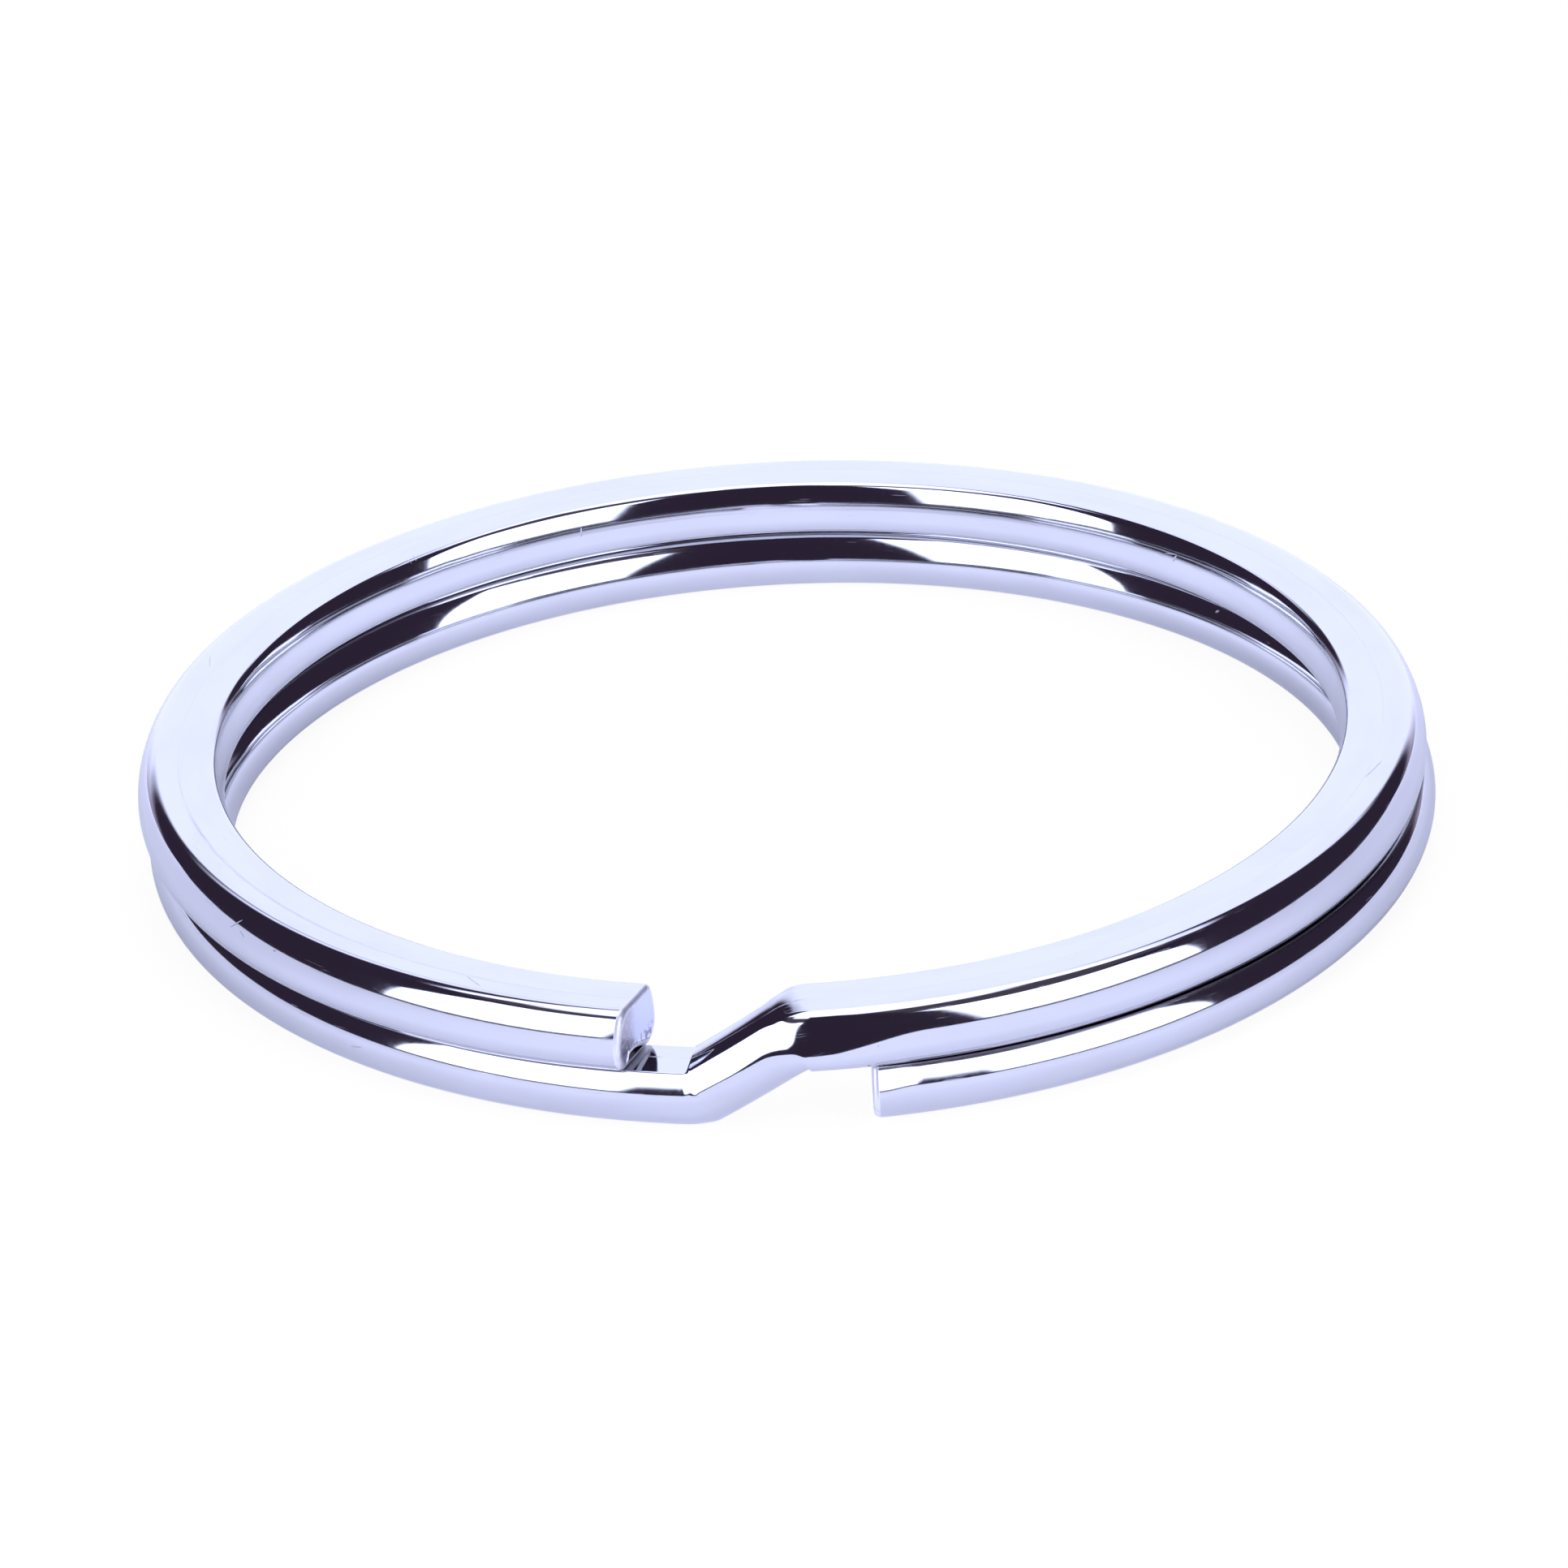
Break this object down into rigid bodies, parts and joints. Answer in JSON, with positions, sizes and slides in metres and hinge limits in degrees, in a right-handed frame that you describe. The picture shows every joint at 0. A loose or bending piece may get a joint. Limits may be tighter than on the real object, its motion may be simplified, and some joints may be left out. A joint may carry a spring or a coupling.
{
  "type": "split key ring",
  "caption": "Split ring of flattened spring wire wound in two touching turns, with a pressed step between them. A key is threaded in at either free end.",
  "frame": {"origin": "on the ring's axis, midway between its two flat faces", "axes": "+Z along the ring's axis, +X to the right and -Y to the front, where the pressed step is. The wire climbs to +Z counter-clockwise seen from +Z"},
  "size_m": [0.03, 0.0298, 0.0028],
  "materials": {
    "plated_wire": "polished"
  },
  "bodies": {
    "fixed_turn": {"lower_coil_front_left": "plated_wire", "crossover_step": "plated_wire", "upper_coil_front_right": "plated_wire"},
    "upper_back_right": {"upper_coil_back_right": "plated_wire"},
    "upper_back_left": {"upper_coil_back_left": "plated_wire"},
    "upper_end": {"upper_free_end": "plated_wire"},
    "lower_back_left": {"lower_coil_back_left": "plated_wire"},
    "lower_back_right": {"lower_coil_back_right": "plated_wire"},
    "lower_end": {"lower_free_end": "plated_wire"}
  },
  "joints": [
    {"name": "upper_coil_lift", "type": "hinge", "parent": "upper_back_right", "child": "upper_back_left", "pos_m": [-0.00009, 0.01396, 0.00072], "axis": [-1, 0, 0], "range_deg": [0, 4], "stiffness_Nm_per_rad": 0.02},
    {"name": "upper_twist_at_right", "type": "hinge", "parent": "fixed_turn", "child": "upper_back_right", "pos_m": [0.01387, 0, 0.00072], "axis": [0, 1, 0], "range_deg": [0, 2.6]},
    {"name": "upper_twist_at_left", "type": "hinge", "parent": "upper_back_left", "child": "upper_end", "pos_m": [-0.01405, 0, 0.00072], "axis": [0, -1, 0], "range_deg": [0, 1.6]},
    {"name": "lower_coil_lift", "type": "hinge", "parent": "lower_back_left", "child": "lower_back_right", "pos_m": [0.00009, 0.01396, -0.00072], "axis": [1, 0, 0], "range_deg": [0, 4], "stiffness_Nm_per_rad": 0.02},
    {"name": "lower_twist_at_left", "type": "hinge", "parent": "fixed_turn", "child": "lower_back_left", "pos_m": [-0.01387, 0, -0.00072], "axis": [0, 1, 0], "range_deg": [0, 2.6]},
    {"name": "lower_twist_at_right", "type": "hinge", "parent": "lower_back_right", "child": "lower_end", "pos_m": [0.01405, 0, -0.00072], "axis": [0, -1, 0], "range_deg": [0, 1.6]}
  ],
  "couplings": [
    {"joint": "upper_twist_at_right", "follows": "upper_coil_lift", "ratio": 0.635},
    {"joint": "upper_twist_at_left", "follows": "upper_coil_lift", "ratio": 0.38},
    {"joint": "lower_twist_at_left", "follows": "lower_coil_lift", "ratio": 0.635},
    {"joint": "lower_twist_at_right", "follows": "lower_coil_lift", "ratio": 0.38}
  ]
}
